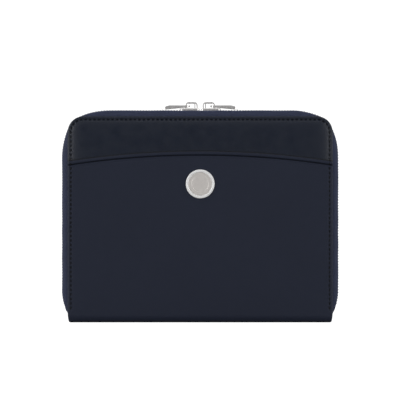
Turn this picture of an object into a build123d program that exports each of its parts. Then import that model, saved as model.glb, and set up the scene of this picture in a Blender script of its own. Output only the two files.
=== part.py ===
from build123d import *
from math import cos, pi, radians, sin
import os

os.makedirs("parts", exist_ok=True)

# A zip-around wallet that stands on its spine. Millimetres, +Z up, the front cover faces -Y, and X
# runs along the spine. The origin is in the middle of the spine's flat underside.

# Overall sizes
DEPTH = 24.0             # over the front and back faces
COVER_WIDTH = 145.0      # leather edge to leather edge
COVER_TOP = 112.9        # height of the covers' top edge
COVER_CORNER = 8.5       # radius of the covers' top corners
FOLD_RADIUS = 4.0        # outer radius where the leather folds from a cover into the spine
COVER_BOTTOM = 4.3       # where a cover's flat panels begin, just above the fold
ZIP_HALF_WIDTH = 76.0    # centre line to the outer edge of the zip
ZIP_TOP = 116.5          # height of the zip's outer edge
ZIP_CORNER_SPAN = 26.0   # the zip's corners: two easy arcs with a tighter one between them
ZIP_EASY_RADIUS = 40.0
ZIP_EASY_ANGLE = 22.0
ZIP_TUCK_RADIUS = 28.4   # bend that tucks the zip's ends in beside the spine
ZIP_TUCK_START = 17.6    # height where that bend begins
ZIP_TUCK_ANGLE = 29.0    # how far the tape follows the bend, in degrees
COIL_TUCK_ANGLE = 19.0   # how far the coil follows it
EDGE_ROUND = 0.35        # softened outer edges of the leather

# Sheet thicknesses
PANEL_SHEET = 1.2        # pocket panel at its stitched rim, and the back cover's leather
POCKET_GAP = 0.35        # slack behind the pocket panel
COVER_SHEET = 1.1        # leather behind the pocket panel
SPINE_SHEET = 1.2
BOARD_SHEET = 0.7        # stiffening board
LINING_SHEET = 0.5
SLOT_SHEET = 0.6         # one card slot
TAPE_SHEET = 0.5
TAPE_CLEARANCE = 0.05    # between a tape's sewn edge and the leather it is sewn to

# Front slip pocket: its arched top edge
ARCH_TOP = 94.05         # height of the arch on the centre line
ARCH_RISE = 5.5          # drop from there to the panel's sides
PANEL_RIM = 4.0          # stitched band at the sides and the foot of the panel

# Stitching
STITCH_PITCH = 2.45
STITCH_LENGTH = 1.85
STITCH_WIDTH = 0.4
STITCH_PROUD = 0.25
STITCH_INSET = 1.7       # from the leather's edge
STITCH_FOOT = 8.0        # height of the lowest stitch
GROOVE_HALF_WIDTH = 0.4  # the back's stitches lie in a groove, below its face
GROOVE_DEPTH = 0.3

# Boards and linings
BOARD_SIDE_MARGIN = 4.0  # from the tape's sewn edge
BOARD_TOP_MARGIN = 0.6
BOARD_FOOT = 1.2         # above the cover's foot
BOARD_CORNER = 13.0
LINING_MARGIN = 0.6      # inside the tape's shoulder
LINING_FOOT = 0.8
LINING_CORNER = 18.0

# Pockets inside
CARD_SLOTS = 4
FIRST_SLOT_TOP = 88.0
SLOT_STEP = 10.0
POCKET_HALF_WIDTH = 68.0
POCKET_FOOT = 8.0
POCKET_CORNER = 1.5
THUMB_NOTCH_RADIUS = 14.0
THUMB_NOTCH_DEPTH = 7.0
BACK_POCKET_TOPS = {"back_note_pocket": 99.0, "back_passport_pocket": 80.0}

# Badge
BADGE_HEIGHT = 75.9      # centre above the base
BADGE_RADIUS = 7.9
BADGE_RING_WIDTH = 1.5
BADGE_RING_PROUD = 1.0
BADGE_DISC_PROUD = 0.6
BADGE_RING_ROUND = 0.4
BADGE_GROOVE_RADIUS = 4.6
BADGE_GROOVE_HALF_WIDTH = 0.15
BADGE_DISC_PLAY = 0.02   # between the disc and the ring
RIVET_RADIUS = 1.2
RIVET_PLAY = 0.05
WASHER_RADIUS = 3.5

# Zip chain, as seen in a cut through the top run
COIL_THICK = 2.15        # from the zip's outer edge inwards
COIL_REACH = 1.5         # from the meeting line to the back of one coil
COIL_GAP = 0.15          # half the gap where the two coils meet
COIL_ROUND = 0.35
WEB_TOP = 2.2            # depth of the tape's outer face under the zip's outer edge
WEB_REACH = 4.9          # flat part of the tape beside the coil, past the slider's flange
BULGE_TOP = 0.65         # depth of the tape's middle layer where it puffs up beside the chain
TAPE_SEAM = 10.5         # depth of the tape's sewn edge under the zip's outer edge
TAPE_SHOULDER = 4.6      # depth where the tape leaves the cover
WEB_LAP = 0.6            # how far the tape reaches in under the coil
CHAIN_SPLIT = 2.7        # half the stretch between the sliders' posts where the chain is open
STOP_ANGLE = 3.2         # past the coil's end, in degrees of the tuck
STOP_LENGTH = 2.4
STOP_LAP = 0.2           # beyond each coil
STOP_ROUND = 0.3

# Spine
SPINE_CORNER_GAP = 0.4   # the spine ends short of the covers' edges
SPINE_BOARD_HALF = (64.0, 8.0)
SPINE_LINING_HALF = (69.0, 8.6)
END_TAB_X = (58.0, 68.0)
END_TAB_HALF_WIDTH = 6.0
END_TAB_SHEET = 0.9
END_TAB_CORNER = 2.0

# Sliders, measured outwards from the centre line
SLIDER_INNER = 0.4       # the wide end
SLIDER_OUTER = 11.2      # the narrow end
SLIDER_WIDE = 4.6        # half width at the wide end
SLIDER_NARROW = 3.5      # half width at the narrow end
SLIDER_CORNER = 1.4
PLATE_ROUND = 0.4
PLATE_SHEET = 0.9
PLATE_TOP = 117.5
CHANNEL_TOP = PLATE_TOP - PLATE_SHEET
LOWER_PLATE_TOP = 113.5
FLANGE_FOOT = 115.1      # underside of the side flanges: the tape leaves below it
FLANGE_SHEET = 0.9
POST_X = (0.9, 2.3)
POST_HALF_WIDTH = 0.8
POST_ROUND = 0.6
PIN_HOLE_X = (2.5, 3.3)
PIN_HOLE_HALF_WIDTH = 0.5
CROWN_INNER = 1.3
CROWN_OUTER = 8.2
CROWN_TOP = 121.0
CROWN_SHEET = 0.75
CROWN_HALF_WIDTH = 1.0
CROWN_BEND = 1.9         # outer radius at the top of the crown's legs
CROWN_EDGE_ROUND = 0.2
SPRING_X = (2.7, 6.6)
SPRING_HALF_WIDTH = 0.45
SPRING_SHEET = 0.25
SPRING_GAP = 0.1         # under the crown
PIN_LENGTH = 0.4
PIN_HALF_WIDTH = 0.3
PIN_DROP = 0.05          # below the channel's roof

# Pulls
PIVOT_X = 6.0            # the pull's crossbar under the crown
PIVOT_Z = 118.6
CROSSBAR_RADIUS = 0.5
CROSSBAR_HALF_LENGTH = 2.2
PULL_TIP_X = 21.4
PULL_HALF_WIDTH = 2.6
PULL_NECK_X = 7.4        # centre of the tab's inner end
PULL_NECK_RADIUS = 2.3
EYE_HALF_WIDTH = 1.3
EYE_LENGTH = 4.3
EYE_ROUND = 1.0
PULL_FOOT = 0.25         # the tip's underside above the zip
PULL_NOSE_RISE = 0.5     # the tip's foremost edge above that
PULL_SHOULDER_RISE = 1.45
PULL_SHOULDER_BACK = 0.9
PULL_TAPER = 4.5         # length over which the tip's top slopes down

# Depths of the layers, worked out from the sheets
FRONT_FACE = -DEPTH / 2
FRONT_LEATHER = FRONT_FACE + PANEL_SHEET
FRONT_BOARD = FRONT_LEATHER + COVER_SHEET
FRONT_LINING = FRONT_BOARD + BOARD_SHEET
FRONT_SLOTS = FRONT_LINING + LINING_SHEET
BACK_FACE = DEPTH / 2
BACK_BOARD = BACK_FACE - PANEL_SHEET
BACK_LINING = BACK_BOARD - BOARD_SHEET
BACK_POCKETS = BACK_LINING - LINING_SHEET
SPINE_HALF_LENGTH = COVER_WIDTH / 2 - SPINE_CORNER_GAP
ARCH_RADIUS = ((COVER_WIDTH / 2) ** 2 + ARCH_RISE ** 2) / (2 * ARCH_RISE)


def save(node, shape):
    """Write one named piece."""
    shape.label = node
    export_step(shape, f"parts/{node}.step")


def plate(outline, y_low, y_high):
    """A sheet with the given XZ outline between two depths."""
    return extrude(Plane.XZ.offset(-y_high) * outline, y_high - y_low)


def block(x_range, y_range, z_range):
    """A box between the given limits."""
    size = [high - low for low, high in (x_range, y_range, z_range)]
    centre = [(high + low) / 2 for low, high in (x_range, y_range, z_range)]
    return Pos(*centre) * Box(*size)


def rounded_sheet(half_width, bottom, top, corner):
    """An upright outline with rounded top corners."""
    sheet = Pos(0, (bottom + top) / 2) * Rectangle(2 * half_width, top - bottom)
    return fillet(sheet.vertices().group_by(Axis.Y)[-1], corner)


def cover_outline(inset=0.0, bottom=COVER_BOTTOM):
    """The leather's outline, or one that lies a little inside it."""
    half_width = COVER_WIDTH / 2 - inset
    return rounded_sheet(half_width, bottom, COVER_TOP - inset, COVER_CORNER - inset)


def below_arch():
    """Everything under the pocket's arched edge."""
    return Pos(0, ARCH_TOP - ARCH_RADIUS) * Circle(ARCH_RADIUS)


# Front cover ---------------------------------------------------------------------------------------


def front_pocket_panel():
    """The slip pocket's outer leather: it meets the cover along its rim and is open at the arch."""
    panel = plate(cover_outline() & below_arch(), FRONT_FACE, FRONT_LEATHER)
    face_edges = panel.faces().sort_by(Axis.Y)[0].edges()
    panel = fillet(face_edges, EDGE_ROUND)
    slack_outline = rounded_sheet(
        COVER_WIDTH / 2 - PANEL_RIM, COVER_BOTTOM + PANEL_RIM, COVER_TOP, COVER_CORNER
    )
    slack = plate(slack_outline, FRONT_LEATHER - POCKET_GAP, FRONT_LEATHER + 1)
    rivet_hole = badge_cylinder(RIVET_RADIUS + RIVET_PLAY, FRONT_FACE - 1, FRONT_LEATHER + 1)
    return panel - slack - rivet_hole


def front_cover_leather():
    """The smooth leather behind the pocket, seen above the arch."""
    sheet = plate(cover_outline(), FRONT_LEATHER, FRONT_BOARD)
    upper_edges = sheet.faces().sort_by(Axis.Y)[0].edges()
    return fillet(upper_edges, EDGE_ROUND)


def stiffener(y_low, y_high):
    """A board that ends short of the zip's sewn edge on every side."""
    half_width = ZIP_HALF_WIDTH - TAPE_SEAM - BOARD_SIDE_MARGIN
    top = ZIP_TOP - TAPE_SEAM - BOARD_TOP_MARGIN
    outline = rounded_sheet(half_width, COVER_BOTTOM + BOARD_FOOT, top, BOARD_CORNER)
    return plate(outline, y_low, y_high)


def lining(y_low, y_high):
    """The sheet that closes a cover on the inside, up to where the tape comes out."""
    margin = TAPE_SHOULDER + LINING_MARGIN
    tuck_shift = ZIP_TUCK_RADIUS * (1 - cos(radians(ZIP_TUCK_ANGLE)))
    half_width = ZIP_HALF_WIDTH - margin - tuck_shift
    foot = COVER_BOTTOM + LINING_FOOT
    outline = rounded_sheet(half_width, foot, ZIP_TOP - margin, LINING_CORNER)
    return plate(outline, y_low, y_high)


def front_card_slot(index):
    """One of the stepped card slots: each next one is lower and lies in front of the last."""
    top = FIRST_SLOT_TOP - index * SLOT_STEP
    depth = FRONT_SLOTS + index * SLOT_SHEET
    outline = rounded_sheet(POCKET_HALF_WIDTH, POCKET_FOOT, top, POCKET_CORNER)
    return plate(outline, depth, depth + SLOT_SHEET)


# Badge ---------------------------------------------------------------------------------------------


def badge_cylinder(radius, y_low, y_high):
    """A cylinder on the badge's axis."""
    return plate(Pos(0, BADGE_HEIGHT) * Circle(radius), y_low, y_high)


def badge_bezel():
    """The polished ring round the badge."""
    inner = BADGE_RADIUS - BADGE_RING_WIDTH
    ring = badge_cylinder(BADGE_RADIUS, FRONT_FACE - BADGE_RING_PROUD, FRONT_FACE)
    ring -= badge_cylinder(inner, FRONT_FACE - 2, FRONT_FACE + 1)
    crown_edges = ring.faces().sort_by(Axis.Y)[0].edges()
    return fillet(crown_edges, BADGE_RING_ROUND)


def badge_disc():
    """The satin disc, with one plain ring groove."""
    radius = BADGE_RADIUS - BADGE_RING_WIDTH - BADGE_DISC_PLAY
    face = FRONT_FACE - BADGE_DISC_PROUD
    groove = badge_cylinder(BADGE_GROOVE_RADIUS + BADGE_GROOVE_HALF_WIDTH, face - 1, face + 0.1)
    groove -= badge_cylinder(BADGE_GROOVE_RADIUS - BADGE_GROOVE_HALF_WIDTH, face - 2, face + 1)
    return badge_cylinder(radius, face, FRONT_FACE) - groove


def badge_rivet():
    """The post that holds the badge to the pocket panel."""
    return badge_cylinder(RIVET_RADIUS, FRONT_FACE, FRONT_LEATHER - RIVET_PLAY)


def badge_washer():
    """The washer behind the panel, inside the pocket's slack."""
    washer = badge_cylinder(WASHER_RADIUS, FRONT_LEATHER - POCKET_GAP, FRONT_LEATHER - RIVET_PLAY)
    return washer - badge_cylinder(RIVET_RADIUS + 0.01, FRONT_FACE, FRONT_BOARD)


# Back cover ----------------------------------------------------------------------------------------


def back_cover_leather():
    """The plain back, with a groove for its stitching."""
    sheet = plate(cover_outline(), BACK_BOARD, BACK_FACE)
    outer_edges = sheet.faces().sort_by(Axis.Y)[-1].edges()
    sheet = fillet(outer_edges, EDGE_ROUND)
    foot = STITCH_FOOT - STITCH_LENGTH
    groove = cover_outline(STITCH_INSET - GROOVE_HALF_WIDTH, foot)
    groove -= cover_outline(STITCH_INSET + GROOVE_HALF_WIDTH, foot - 1)
    return sheet - plate(groove, BACK_FACE - GROOVE_DEPTH, BACK_FACE + 1)


def back_pocket(index, top):
    """A wide slip pocket with a thumb notch in its top edge."""
    depth = BACK_POCKETS - (index + 1) * SLOT_SHEET
    outline = rounded_sheet(POCKET_HALF_WIDTH, POCKET_FOOT, top, POCKET_CORNER)
    notch_centre = top + THUMB_NOTCH_RADIUS - THUMB_NOTCH_DEPTH
    outline -= Pos(0, notch_centre) * Circle(THUMB_NOTCH_RADIUS)
    return plate(outline, depth, depth + SLOT_SHEET)


# Stitching -----------------------------------------------------------------------------------------


def stitch_row():
    """Points and headings, in XZ, of the stitches that run up one side, over the top and down."""
    half_width = COVER_WIDTH / 2 - STITCH_INSET
    top = COVER_TOP - STITCH_INSET
    radius = COVER_CORNER - STITCH_INSET
    rise = top - radius - STITCH_FOOT
    quarter = pi * radius / 2
    run = 2 * (half_width - radius)
    count = int((2 * rise + 2 * quarter + run) / STITCH_PITCH)
    for number in range(count + 1):
        along = number * (2 * rise + 2 * quarter + run) / count
        mirrored = along > rise + quarter + run / 2
        if mirrored:
            along = 2 * rise + 2 * quarter + run - along
        if along < rise:
            x, z, heading = -half_width, STITCH_FOOT + along, 90.0
        elif along < rise + quarter:
            turn = (along - rise) / radius
            x = -half_width + radius - radius * cos(turn)
            z = top - radius + radius * sin(turn)
            heading = 90.0 - turn * 180 / pi
        else:
            x, z, heading = along - rise - quarter - half_width + radius, top, 0.0
        yield (-x, z, -heading) if mirrored else (x, z, heading)


def stitching(face_depth, outwards):
    """The thread seen on one face: a short bar for every stitch."""
    stitches = []
    for x, z, heading in stitch_row():
        surface = face_depth(x, z)
        middle = surface + outwards * STITCH_PROUD / 2
        bar = Box(STITCH_LENGTH, STITCH_PROUD, STITCH_WIDTH)
        stitches.append(Pos(x, middle, z) * Rot(0, -heading, 0) * bar)
    return Compound(stitches)


def front_surface(x, z):
    """Depth of the front's face: on the pocket panel under the arch, and on the leather above it."""
    arch = ARCH_TOP - ARCH_RADIUS + (ARCH_RADIUS ** 2 - x ** 2) ** 0.5
    return FRONT_FACE if z < arch + STITCH_LENGTH else FRONT_LEATHER


# Zip -----------------------------------------------------------------------------------------------


def zip_path(tuck_angle, start_x=0.0):
    """The zip's outer edge on the right: along the top, round the corner, down and in at the foot."""
    corner_x = ZIP_HALF_WIDTH - ZIP_CORNER_SPAN
    corner_z = ZIP_TOP - ZIP_CORNER_SPAN
    tuck_x = ZIP_HALF_WIDTH - ZIP_TUCK_RADIUS
    turns = [0, ZIP_EASY_ANGLE / 2, ZIP_EASY_ANGLE, 45.0]
    turns += [90.0 - turn for turn in reversed(turns[:-1])]
    points = [(corner_x + x, 0, corner_z + z) for x, z in map(corner_point, turns)]
    top = Line((start_x, 0, ZIP_TOP), points[0])
    bends = [ThreePointArc(*points[start:start + 3]) for start in (0, 2, 4)]
    side = Line(points[-1], (ZIP_HALF_WIDTH, 0, ZIP_TUCK_START))
    tuck = ThreePointArc(side @ 1, *[tuck_point(tuck_x, tuck_angle * part) for part in (0.5, 1)])
    return Wire([top, *bends, side, tuck])


def corner_point(turn):
    """A point of the corner's three arcs, from the corner's inner point, at a heading in degrees."""
    if turn > 45.0:
        x, z = corner_point(90.0 - turn)
        return z, x
    easy = radians(ZIP_EASY_ANGLE)
    easy_reach = ZIP_EASY_RADIUS * (sin(easy) + 1 - cos(easy))
    tight_radius = (ZIP_CORNER_SPAN - easy_reach) / (cos(easy) - sin(easy))
    first = radians(min(turn, ZIP_EASY_ANGLE))
    second = radians(max(turn, ZIP_EASY_ANGLE))
    x = ZIP_EASY_RADIUS * sin(first) + tight_radius * (sin(second) - sin(easy))
    drop = ZIP_EASY_RADIUS * (1 - cos(first)) + tight_radius * (cos(easy) - cos(second))
    return x, ZIP_CORNER_SPAN - drop


def tuck_point(centre_x, angle):
    """A point of the bend at the zip's foot."""
    reach = ZIP_TUCK_RADIUS * cos(radians(angle))
    return (centre_x + reach, 0, ZIP_TUCK_START - ZIP_TUCK_RADIUS * sin(radians(angle)))


def tape_section(seam_depth, side):
    """A cut through one tape: flat at the coil, puffed up beside it, then flat where it is sewn in."""
    half = TAPE_SHEET / 2
    seam = abs(seam_depth)
    web_middle = WEB_TOP + half
    across = (seam - WEB_REACH) / 2
    middle = WEB_REACH + across
    rise = TAPE_SHOULDER - BULGE_TOP
    ring = Ellipse(across + half, rise + half) - Ellipse(across - half, rise - half)
    inner_wall = Pos(-across, rise) * Rectangle(2 * across, 2 * (web_middle + half - BULGE_TOP + half))
    outer_wall = Pos(across, rise) * Rectangle(2 * across, 2 * rise)
    bulge = ring & (inner_wall + outer_wall)
    bulge = Pos(middle, ZIP_TOP - TAPE_SHOULDER) * bulge
    wall_x = middle - across * (1 - ((TAPE_SHOULDER - web_middle) / rise) ** 2) ** 0.5
    web_width = wall_x - COIL_REACH + WEB_LAP
    web = Pos(wall_x - web_width / 2, ZIP_TOP - web_middle) * Rectangle(web_width, TAPE_SHEET)
    sewn_height = TAPE_SEAM - TAPE_SHOULDER
    sewn_middle = ZIP_TOP - TAPE_SHOULDER - sewn_height / 2
    sewn = Pos(seam, sewn_middle) * Rectangle(TAPE_SHEET, sewn_height)
    section = bulge + web + sewn
    return section if side > 0 else mirror(section, Plane.YZ)


def both_sides(right):
    """A right-hand piece and its mirror image."""
    return right, mirror(right, Plane.YZ)


def zip_tape(seam_depth, side):
    """One cover's tape, sewn in all round and free at the coil."""
    right = sweep(Plane.YZ * tape_section(seam_depth, side), path=zip_path(ZIP_TUCK_ANGLE))
    right, left = both_sides(right)
    return right + left


def zip_coil(side):
    """One cover's coil: two runs that meet the sliders' posts in the middle of the top."""
    width = COIL_REACH - COIL_GAP
    outline = Rectangle(width, COIL_THICK)
    outline = fillet(outline.vertices(), COIL_ROUND)
    middle = side * (COIL_REACH + COIL_GAP) / 2
    section = Pos(middle, ZIP_TOP - COIL_THICK / 2) * outline
    path = zip_path(COIL_TUCK_ANGLE, CHAIN_SPLIT)
    right = sweep(Plane.YZ.offset(CHAIN_SPLIT) * section, path=path)
    return Compound(list(both_sides(right)))


def zip_end_stop():
    """The stop clamped on both coils at the right-hand foot of the zip."""
    angle = COIL_TUCK_ANGLE + STOP_ANGLE
    x, _, z = tuck_point(ZIP_HALF_WIDTH - ZIP_TUCK_RADIUS, angle)
    stop = Pos(-COIL_THICK / 2, 0, 0) * Box(COIL_THICK, 2 * (COIL_REACH + STOP_LAP), STOP_LENGTH)
    stop = fillet(stop.edges(), STOP_ROUND)
    return Pos(x, 0, z) * Rot(0, angle, 0) * stop


# Spine ---------------------------------------------------------------------------------------------


def spine_section(inset, thickness, height):
    """A shallow channel with rounded folds, as a YZ outline."""
    outer = RectangleRounded(DEPTH - 2 * inset, DEPTH - 2 * inset, FOLD_RADIUS - inset)
    inner_size = DEPTH - 2 * (inset + thickness)
    inner = RectangleRounded(inner_size, inner_size, FOLD_RADIUS - inset - thickness)
    ring = Pos(0, DEPTH / 2) * (outer - inner)
    return ring & Pos(0, height / 2) * Rectangle(DEPTH, height)


def spine_leather():
    """The leather under the wallet, with both folds turned up towards the covers."""
    section = Plane.YZ * spine_section(0.0, SPINE_SHEET, FOLD_RADIUS)
    return extrude(section, SPINE_HALF_LENGTH, both=True)


def spine_sheet(half_size, low, thickness):
    """A flat sheet centred in the spine."""
    half_length, half_width = half_size
    return block((-half_length, half_length), (-half_width, half_width), (low, low + thickness))


def spine_board():
    """The stiffener in the spine."""
    return spine_sheet(SPINE_BOARD_HALF, SPINE_SHEET, BOARD_SHEET)


def spine_lining():
    """The lining along the bottom of the main compartment."""
    return spine_sheet(SPINE_LINING_HALF, SPINE_SHEET + BOARD_SHEET, LINING_SHEET)


def zip_end_tab():
    """The leather tab sewn over the right-hand ends of the tapes, inside the spine."""
    low = SPINE_SHEET + BOARD_SHEET + LINING_SHEET
    tab = block(END_TAB_X, (-END_TAB_HALF_WIDTH, END_TAB_HALF_WIDTH), (low, low + END_TAB_SHEET))
    return fillet(tab.edges().filter_by(Axis.Z), END_TAB_CORNER)


# Sliders -------------------------------------------------------------------------------------------


def slider_outline(margin=0.0, overrun=0.0):
    """A slider's plan: wide where the two sliders meet and narrow at the closed chain."""
    slope = (SLIDER_WIDE - SLIDER_NARROW) / (SLIDER_OUTER - SLIDER_INNER)
    wide = SLIDER_WIDE - margin + overrun * slope
    narrow = SLIDER_NARROW - margin - overrun * slope
    inner = SLIDER_INNER - overrun
    outer = SLIDER_OUTER + overrun
    return Polygon((inner, -wide), (outer, -narrow), (outer, narrow), (inner, wide), align=None)


def slider_level(outline, z_low, z_high):
    """Part of a slider between two heights."""
    return extrude(Plane.XY.offset(z_low) * outline, z_high - z_low)


def slider_body():
    """The right-hand slider's casting: two plates, side flanges and the post between the throats."""
    outline = slider_outline()
    outline = fillet(outline.vertices(), SLIDER_CORNER)
    upper = slider_level(outline, CHANNEL_TOP, PLATE_TOP)
    upper = fillet(upper.faces().sort_by(Axis.Z)[-1].edges(), PLATE_ROUND)
    lower = slider_level(outline, LOWER_PLATE_TOP - PLATE_SHEET, LOWER_PLATE_TOP)
    lower = fillet(lower.faces().sort_by(Axis.Z)[0].edges(), PLATE_ROUND)
    flanges = outline - slider_outline(FLANGE_SHEET, 2.0)
    flanges = slider_level(flanges, FLANGE_FOOT, CHANNEL_TOP)
    post_width = (-POST_HALF_WIDTH, POST_HALF_WIDTH)
    post = block(POST_X, post_width, (LOWER_PLATE_TOP, CHANNEL_TOP))
    post = fillet(post.edges().filter_by(Axis.Z), POST_ROUND)
    hole_width = (-PIN_HOLE_HALF_WIDTH, PIN_HOLE_HALF_WIDTH)
    pin_hole = block(PIN_HOLE_X, hole_width, (CHANNEL_TOP - 1, PLATE_TOP + 1))
    return upper + lower + flanges + post - pin_hole


def slider_crown():
    """The bridge on top of the slider, which keeps the pull's crossbar under it."""
    length = CROWN_OUTER - CROWN_INNER
    height = CROWN_TOP - PLATE_TOP
    centre = (CROWN_OUTER + CROWN_INNER) / 2
    arch = Pos(centre, PLATE_TOP + height / 2) * Rectangle(length, height)
    arch = fillet(arch.vertices().group_by(Axis.Y)[-1], CROWN_BEND)
    hollow_length = length - 2 * CROWN_SHEET
    hollow_height = height - CROWN_SHEET
    hollow = Pos(centre, PLATE_TOP + hollow_height / 2) * Rectangle(hollow_length, hollow_height)
    hollow = fillet(hollow.vertices().group_by(Axis.Y)[-1], CROWN_BEND - CROWN_SHEET)
    bridge = plate(arch - hollow, -CROWN_HALF_WIDTH, CROWN_HALF_WIDTH)
    side_edges = bridge.faces().sort_by(Axis.Y)[0].edges() + bridge.faces().sort_by(Axis.Y)[-1].edges()
    upper_edges = [edge for edge in side_edges if edge.center().Z > PLATE_TOP + 0.1]
    return fillet(upper_edges, CROWN_EDGE_ROUND)


def slider_lock_spring():
    """The leaf under the crown, with the pin that drops into the chain through the top plate."""
    top = CROWN_TOP - CROWN_SHEET - SPRING_GAP
    low = top - SPRING_SHEET
    inner = SPRING_X[0]
    leaf = block(SPRING_X, (-SPRING_HALF_WIDTH, SPRING_HALF_WIDTH), (low, top))
    pin_width = (-PIN_HALF_WIDTH, PIN_HALF_WIDTH)
    pin = block((inner, inner + PIN_LENGTH), pin_width, (CHANNEL_TOP - PIN_DROP, low))
    return leaf + pin


def pull_tab():
    """The right-hand pull: a crossbar, an eye round the crown's leg and a tab that thickens outwards."""
    near = Pos(PULL_NECK_X, 0) * Circle(PULL_NECK_RADIUS)
    far = Pos(PULL_TIP_X - PULL_HALF_WIDTH, 0) * Circle(PULL_HALF_WIDTH)
    plan = make_hull(near.edges() + far.edges())
    plan &= Pos(PIVOT_X + PULL_TIP_X / 2, 0) * Rectangle(PULL_TIP_X, PULL_TIP_X)
    eye = Pos(PIVOT_X + EYE_LENGTH / 2, 0) * Rectangle(EYE_LENGTH, 2 * EYE_HALF_WIDTH)
    eye = fillet(eye.vertices().group_by(Axis.X)[-1], EYE_ROUND)
    plan -= eye
    solid = slider_level(plan, ZIP_TOP - 1, CROWN_TOP)
    low_near = PIVOT_Z - CROSSBAR_RADIUS
    high_near = PIVOT_Z + CROSSBAR_RADIUS
    low_far = ZIP_TOP + PULL_FOOT
    profile = Polygon(
        (PIVOT_X, low_near),
        (PULL_TIP_X - PULL_SHOULDER_BACK, low_far),
        (PULL_TIP_X, low_far + PULL_NOSE_RISE),
        (PULL_TIP_X - PULL_SHOULDER_BACK, low_far + PULL_SHOULDER_RISE),
        (PULL_TIP_X - PULL_TAPER, high_near),
        (PIVOT_X, high_near),
        align=None,
    )
    side = plate(profile, -PULL_HALF_WIDTH - 1, PULL_HALF_WIDTH + 1)
    crossbar = Cylinder(CROSSBAR_RADIUS, 2 * CROSSBAR_HALF_LENGTH)
    return (solid & side) + Pos(PIVOT_X, 0, PIVOT_Z) * Rot(90, 0, 0) * crossbar


# Write every piece ---------------------------------------------------------------------------------

save("front_pocket_panel", front_pocket_panel())
save("front_cover_leather", front_cover_leather())
save("front_cover_board", stiffener(FRONT_BOARD, FRONT_LINING))
save("front_cover_lining", lining(FRONT_LINING, FRONT_SLOTS))
for slot in range(CARD_SLOTS):
    save(f"front_card_slot_{slot + 1}", front_card_slot(slot))
save("front_edge_stitching", stitching(front_surface, -1))

save("badge_bezel", badge_bezel())
save("badge_disc", badge_disc())
save("badge_rivet", badge_rivet())
save("badge_washer", badge_washer())

save("back_cover_leather", back_cover_leather())
save("back_cover_board", stiffener(BACK_LINING, BACK_BOARD))
save("back_cover_lining", lining(BACK_POCKETS, BACK_LINING))
for order, (pocket, pocket_top) in enumerate(BACK_POCKET_TOPS.items()):
    save(pocket, back_pocket(order, pocket_top))
save("back_edge_stitching", stitching(lambda x, z: BACK_FACE - GROOVE_DEPTH, 1))

save("front_zip_tape", zip_tape(FRONT_BOARD + TAPE_CLEARANCE + TAPE_SHEET / 2, -1))
save("back_zip_tape", zip_tape(BACK_BOARD - TAPE_CLEARANCE - TAPE_SHEET / 2, 1))
save("front_zip_coil", zip_coil(-1))
save("back_zip_coil", zip_coil(1))

save("spine_leather", spine_leather())
save("spine_board", spine_board())
save("spine_lining", spine_lining())

SIDED_PIECES = {
    "zip_end_stop": zip_end_stop(),
    "zip_end_tab": zip_end_tab(),
    "slider_body": slider_body(),
    "slider_crown": slider_crown(),
    "slider_lock_spring": slider_lock_spring(),
    "pull_tab": pull_tab(),
}
for piece, shape in SIDED_PIECES.items():
    for hand, sided in zip(("right", "left"), both_sides(shape)):
        save(f"{piece}_{hand}", sided)
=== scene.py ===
from math import cos, pi, radians, sin, tau

import bmesh
import bpy
import numpy as np
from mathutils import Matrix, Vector


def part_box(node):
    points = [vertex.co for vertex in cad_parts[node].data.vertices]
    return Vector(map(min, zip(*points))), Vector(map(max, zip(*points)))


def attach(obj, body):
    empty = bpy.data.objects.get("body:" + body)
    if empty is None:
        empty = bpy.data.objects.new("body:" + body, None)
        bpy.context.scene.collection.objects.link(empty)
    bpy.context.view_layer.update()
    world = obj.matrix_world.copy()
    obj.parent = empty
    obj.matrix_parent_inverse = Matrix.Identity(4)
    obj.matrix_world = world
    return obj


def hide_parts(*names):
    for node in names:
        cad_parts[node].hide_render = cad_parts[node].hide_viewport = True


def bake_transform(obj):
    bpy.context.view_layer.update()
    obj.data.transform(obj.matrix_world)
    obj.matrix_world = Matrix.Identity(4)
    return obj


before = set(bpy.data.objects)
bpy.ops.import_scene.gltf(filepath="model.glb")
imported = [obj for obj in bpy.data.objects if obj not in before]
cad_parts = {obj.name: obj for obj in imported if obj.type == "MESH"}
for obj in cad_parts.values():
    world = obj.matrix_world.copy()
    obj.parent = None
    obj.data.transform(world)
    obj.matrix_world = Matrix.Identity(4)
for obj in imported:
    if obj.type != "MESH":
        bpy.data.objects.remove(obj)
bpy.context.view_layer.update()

# A zip-around wallet that stands on its spine, with the front cover on -Y. Lengths are in millimetres,
# and every mesh is turned into metres when it is made.

MM = 0.001


def box_mm(node):
    """A CAD node's lowest and highest corner, in millimetres."""
    low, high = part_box(node)
    return np.array(low) / MM, np.array(high) / MM


# Places read from the frame
cover_low, cover_high = box_mm("front_cover_leather")
HALF = cover_high[0]  # half the covers' width
TOP = cover_high[2]  # the covers' top edge
FACE = box_mm("back_cover_leather")[1][1]  # half the depth over both faces
SHEET = FACE + cover_low[1]  # the pocket panel's thickness
ZIP_HALF = box_mm("back_zip_coil")[1][0]
ZIP_TOP = box_mm("back_zip_coil")[1][2]
PANEL_TOP = box_mm("front_pocket_panel")[1][2]
SPINE_HALF = box_mm("spine_leather")[1][0]
badge_low, badge_high = box_mm("badge_bezel")
BADGE_Z = (badge_low[2] + badge_high[2]) / 2
BADGE_RADIUS = badge_high[0]

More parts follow.
